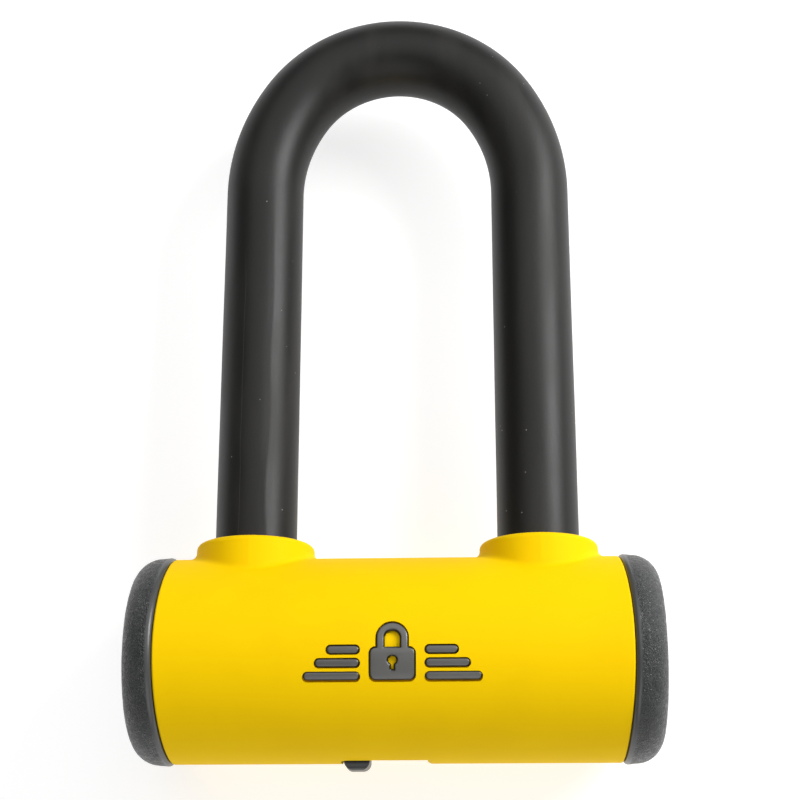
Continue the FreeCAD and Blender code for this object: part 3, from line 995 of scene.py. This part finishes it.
@dataclass
class Emblem:
    """Pillowed inlays in the cover's recesses: a padlock sign between two sets of bars."""

    pillow: float = 0.62 * MM
    spread: float = 0.18 * MM
    waist: float = 0.05 * MM
    top_radius: float = 22.2 * MM
    half_width: float = 4.6 * MM
    sign_y: Point = (-7.6 * MM, -1.0 * MM)
    corner: float = 1.2 * MM
    bow_y: float = 1.0 * MM
    bow_radius: float = 3.2 * MM
    bow_bore: float = 1.7 * MM
    keyhole_y: Point = (-5.7 * MM, -3.6 * MM)
    keyhole_radius: float = 1.0 * MM
    keyhole_slot: float = 0.45 * MM
    bar_start: float = 6.8 * MM
    bar_half: float = 0.8 * MM
    bars: tuple[Point, ...] = ((-6.8 * MM, 11.4 * MM), (-4.1 * MM, 9.0 * MM), (-1.4 * MM, 6.6 * MM))
    slice_pitch: float = 0.35 * MM
    edge_steps: int = 4
    corner_steps: int = 6
    bow_steps: int = 24
    hole_steps: int = 16
    bar_steps: int = 10
    finish: Finish = field(
        default_factory=lambda: SatinMoulding(
            "emblem_grey",
            "emblem_plastic",
            base=(0.105, 0.104, 0.098),
            shade=(0.082, 0.081, 0.077),
            roughness=0.33,
            texture_grain=0.2 * MM,
            specular=0.6,
            # Painted shade in the grooves round the inlays, below this radius.
            painted_shade_below=22.08 * MM,
        )
    )

    def sign_outlines(self) -> list[list[Point]]:
        """Outlines of the padlock sign.

        Returns:
            Its outside, the hole of its bow and its keyhole.
        """
        low, high = self.sign_y
        side = self.half_width - self.corner
        foot_y, shoulder_y = low + self.corner, high - self.corner
        outer = arc_points((side, foot_y), self.corner, -90, 0, self.corner_steps)
        outer += arc_points((side, shoulder_y), self.corner, 0, 90, self.corner_steps)
        outer.append((self.bow_radius, high))
        outer += arc_points((0.0, self.bow_y), self.bow_radius, 0, 180, self.bow_steps)
        outer.append((-self.bow_radius, high))
        outer += arc_points((-side, shoulder_y), self.corner, 90, 180, self.corner_steps)
        outer += arc_points((-side, foot_y), self.corner, 180, 270, self.corner_steps)
        bow = arc_points((0.0, self.bow_y), self.bow_bore, 0, 180, self.hole_steps)
        bow += [(-self.bow_bore, high), (self.bow_bore, high)]
        tip, centre = self.keyhole_y
        lean = math.degrees(math.asin(self.keyhole_slot / self.keyhole_radius))
        keyhole = arc_points((0.0, centre), self.keyhole_radius, lean - 90, 270 - lean, self.hole_steps)
        keyhole += [(-self.keyhole_slot, tip), (self.keyhole_slot, tip)]
        return [outer, bow, keyhole]

    def bar_outline(self, y: float, length: float, side: int) -> list[Point]:
        """Outline of one bar.

        Args:
            y: Its middle.
            length: Its length.
            side: 1 on the right of the sign, -1 on the left.

        Returns:
            The outline's points.
        """
        ends = sorted((side * self.bar_start, side * (self.bar_start + length)))
        right = arc_points((ends[1] - self.bar_half, y), self.bar_half, -90, 90, self.bar_steps)
        return right + arc_points((ends[0] + self.bar_half, y), self.bar_half, 90, 270, self.bar_steps)

    def pillowed_mesh(self) -> bpy.types.Mesh:
        """Fill the outlines and round their edges, still flat on Z = 0.

        Returns:
            The mesh.
        """
        outlines = self.sign_outlines()
        for y, length in self.bars:
            outlines += [self.bar_outline(y, length, side) for side in (-1, 1)]
        curve = bpy.data.curves.new("emblem_outlines", "CURVE")
        curve.dimensions = "2D"
        curve.fill_mode = "BOTH"
        curve.extrude = self.waist
        curve.bevel_depth = self.pillow
        curve.bevel_resolution = self.edge_steps
        curve.offset = self.spread - self.pillow
        for outline in outlines:
            spline = curve.splines.new("POLY")
            spline.points.add(len(outline) - 1)
            for point, (x, y) in zip(spline.points, outline):
                point.co = (x, y, 0.0, 1.0)
            spline.use_cyclic_u = True
        holder = bpy.data.objects.new("emblem_outlines", curve)
        mesh = bpy.data.meshes.new_from_object(holder)
        bpy.data.objects.remove(holder)
        bpy.data.curves.remove(curve)
        return mesh

    def build_inlays(self) -> bpy.types.Object:
        """Slice the pillowed outlines across and wrap them round the crossbar's axis.

        Returns:
            The inlays, as one piece.
        """
        inlays = self.pillowed_mesh()
        inlays.name = "emblem"
        shell = bmesh.new()
        shell.from_mesh(inlays)
        low = self.sign_y[0]
        count = math.ceil((self.bow_y + self.bow_radius - low) / self.slice_pitch)
        for step in range(1, count):
            everything = shell.verts[:] + shell.edges[:] + shell.faces[:]
            where = (0, low + step * self.slice_pitch, 0)
            bmesh.ops.bisect_plane(shell, geom=everything, plane_co=where, plane_no=(0, 1, 0))
        bmesh.ops.remove_doubles(shell, verts=shell.verts, dist=MM / 1000)
        middle = self.top_radius - self.pillow - self.waist
        for vert in shell.verts:
            radius = middle + vert.co.z
            angle = vert.co.y / self.top_radius
            vert.co.y = radius * math.sin(angle)
            vert.co.z = radius * math.cos(angle)
        shell.to_mesh(inlays)
        shell.free()
        inlays.shade_smooth()
        piece = bpy.data.objects.new("emblem", inlays)
        bpy.context.scene.collection.objects.link(piece)
        return piece

    def build(self) -> None:
        """Build and dress the inlays."""
        dress(self.build_inlays(), self.finish, "crossbar", "emblem_inlays")


@dataclass
class DustCover:
    """Keyhole slider with its thumb tab."""

    finish: Finish = field(
        default_factory=lambda: SatinMoulding(
            "slider_nylon",
            "slider_nylon",
            base=(0.018, 0.018, 0.018),
            shade=(0.028, 0.028, 0.027),
            roughness=0.34,
            specular=0.55,
        )
    )

    def build(self) -> None:
        """Dress the slider."""
        dress_cad("dust_cover", self.finish)


@dataclass
class Mechanism:
    """Steel and brass pieces inside the crossbar, each CAD node with its own finish."""

    def finishes(self) -> dict[str, Finish]:
        """Finish of every inner node.

        Returns:
            The finishes by node name.
        """
        hardened = WorkedMetal("tube_steel", "hardened_steel", base=(0.42, 0.43, 0.45), lay=Lay.ROUND_X)
        ground = WorkedMetal(
            "bolt_steel",
            "hardened_steel",
            base=(0.55, 0.56, 0.58),
            roughness=0.24,
            lay=Lay.ALONG_X,
        )
        turned_x = WorkedMetal("turned_steel_x", "machined_steel", lay=Lay.ROUND_X)
        turned_y = WorkedMetal("turned_steel_y", "machined_steel", lay=Lay.ROUND_Y)
        spring = WorkedMetal(
            "spring_steel",
            "spring_steel",
            base=(0.36, 0.36, 0.38),
            stain=(0.2, 0.2, 0.22),
        )
        sintered = WorkedMetal(
            "sintered_steel",
            "sintered_steel",
            base=(0.3, 0.3, 0.31),
            roughness=0.5,
            mark=0.4 * MM,
            depth=0.03 * MM,
        )
        oxide = WorkedMetal(
            "black_oxide",
            "black_oxide_steel",
            base=(0.06, 0.06, 0.065),
            stain=(0.1, 0.09, 0.08),
        )
        brass = WorkedMetal(
            "turned_brass",
            "brass",
            base=(0.72, 0.52, 0.22),
            stain=(0.5, 0.34, 0.14),
            lay=Lay.ROUND_Y,
        )
        rubber = SoftRubber("seal_rubber", "seal_rubber")
        table: dict[str, Finish] = {
            "crossbar_tube": hardened,
            "bolt_housing_front": sintered,
            "bolt_housing_back": sintered,
            "housing_screws": oxide,
            "cylinder_housing": turned_y,
            "cylinder_pin": spring,
            "keyhole_bezel": turned_y,
            "key_core": brass,
            "anti_drill_disc": ground,
            "locking_discs": brass,
            "spacer_discs": turned_y,
            "sidebar": turned_y,
            "core_circlip": spring,
            "drive_cam": hardened,
            "left_deadbolt": ground,
            "right_deadbolt": ground,
        }
        for side in ("left", "right"):
            table[f"{side}_end_plug"] = turned_x
            table[f"{side}_plug_pin"] = spring
            table[f"{side}_leg_guide"] = turned_x
            table[f"{side}_leg_seal"] = rubber
        return table

    def build(self) -> None:
        """Dress every inner node."""
        for node, finish in self.finishes().items():
            dress_cad(node, finish)


# ------------------------------------------------------------------------------------ studio


@dataclass(frozen=True)
class Lamp:
    """Round soft light, hung at a distance in a direction from what it lights; lengths in metres."""

    name: str
    direction: tuple[float, float, float]
    distance: float
    width: float
    radiance: float

    def hang(self, aim: Vector) -> None:
        """Add the lamp to the scene.

        Args:
            aim: The point that it faces.
        """
        lamp = bpy.data.lights.new(self.name, "AREA")
        lamp.shape = "DISK"
        lamp.size = self.width
        area = math.pi * (self.width / 2) ** 2
        lamp.energy = self.radiance * math.pi * area
        holder = bpy.data.objects.new(self.name, lamp)
        outward = Vector(self.direction).normalized()
        holder.location = aim + outward * self.distance
        holder.rotation_euler = outward.to_track_quat("Z", "Y").to_euler()
        bpy.context.scene.collection.objects.link(holder)


@dataclass
class Studio:
    """Pale floor that glows a little, soft lights and the camera, which looks down on the emblem."""

    camera_place: tuple[float, float, float] = (16.08 * MM, -59.9 * MM, 366.2 * MM)
    tilt: float = 0.314
    turn: float = 0.042
    lens: float = 76.35
    sensor: float = 36.0
    floor_colour: Colour = (0.5, 0.5, 0.5)
    floor_glow: float = 0.72
    floor_half: float = 3.0
    world_strength: float = 0.12
    aim: tuple[float, float, float] = (0.0, 60 * MM, 0.0)
    lamps: tuple[Lamp, ...] = (
        Lamp("key", (0.72, 0.35, 0.6), 0.85, 0.46, 14.6),
        Lamp("overhead", (-0.05, 0.45, 0.89), 1.0, 1.3, 1.15),
        Lamp("fill", (0.0, -0.8, 0.6), 0.9, 0.8, 1.35),
    )

    def build_floor(self) -> None:
        """Make the floor under the end caps."""
        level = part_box("right_end_cap")[0].z
        half = self.floor_half
        corners = [(x * half, y * half, level) for x, y in ((-1, -1), (1, -1), (1, 1), (-1, 1))]
        floor = new_piece("floor", corners, [(0, 1, 2, 3)])
        graph = ShaderGraph("floor_pale")
        paint = {
            "Base Color": rgba(self.floor_colour),
            "Roughness": 0.9,
            "Specular IOR Level": 0.1,
            "Emission Color": rgba(WHITE),
            "Emission Strength": self.floor_glow,
        }
        floor.data.materials.append(graph.surface(paint))
        floor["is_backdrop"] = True

    def build_lights(self) -> None:
        """Hang the lights and set the sky."""
        world = bpy.data.worlds.new("studio")
        world.use_nodes = True
        sky = world.node_tree.nodes["Background"]
        sky.inputs["Color"].default_value = rgba(WHITE)
        sky.inputs["Strength"].default_value = self.world_strength
        bpy.context.scene.world = world
        for lamp in self.lamps:
            lamp.hang(Vector(self.aim))

    def build_camera(self) -> None:
        """Set the camera up."""
        lens = bpy.data.cameras.new("camera")
        lens.lens = self.lens
        lens.sensor_width = self.sensor
        lens.clip_start = 0.01
        camera = bpy.data.objects.new("camera", lens)
        turned = Matrix.Rotation(self.turn, 4, "Y") @ Matrix.Rotation(self.tilt, 4, "X")
        camera.matrix_world = Matrix.Translation(self.camera_place) @ turned
        bpy.context.scene.collection.objects.link(camera)
        bpy.context.scene.camera = camera

    def build(self) -> None:
        """Build the whole studio."""
        self.build_floor()
        self.build_lights()
        self.build_camera()
        bpy.context.scene.view_settings.view_transform = "Standard"


def main() -> None:
    """Build every sub-assembly in order."""
    logging.basicConfig(level=logging.INFO, format="%(name)s: %(message)s")
    outside = (Shackle(), EndCaps(), CrossbarShell(), Emblem(), DustCover())
    for assembly in (*outside, Mechanism(), Studio()):
        assembly.build()
        LOG.info("built %s", type(assembly).__name__)
    for piece in sorted(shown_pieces(), key=lambda shown: shown.name):
        LOG.info("piece %s: %d faces", piece.name, len(piece.data.polygons))


if __name__ == "__main__":
    main()
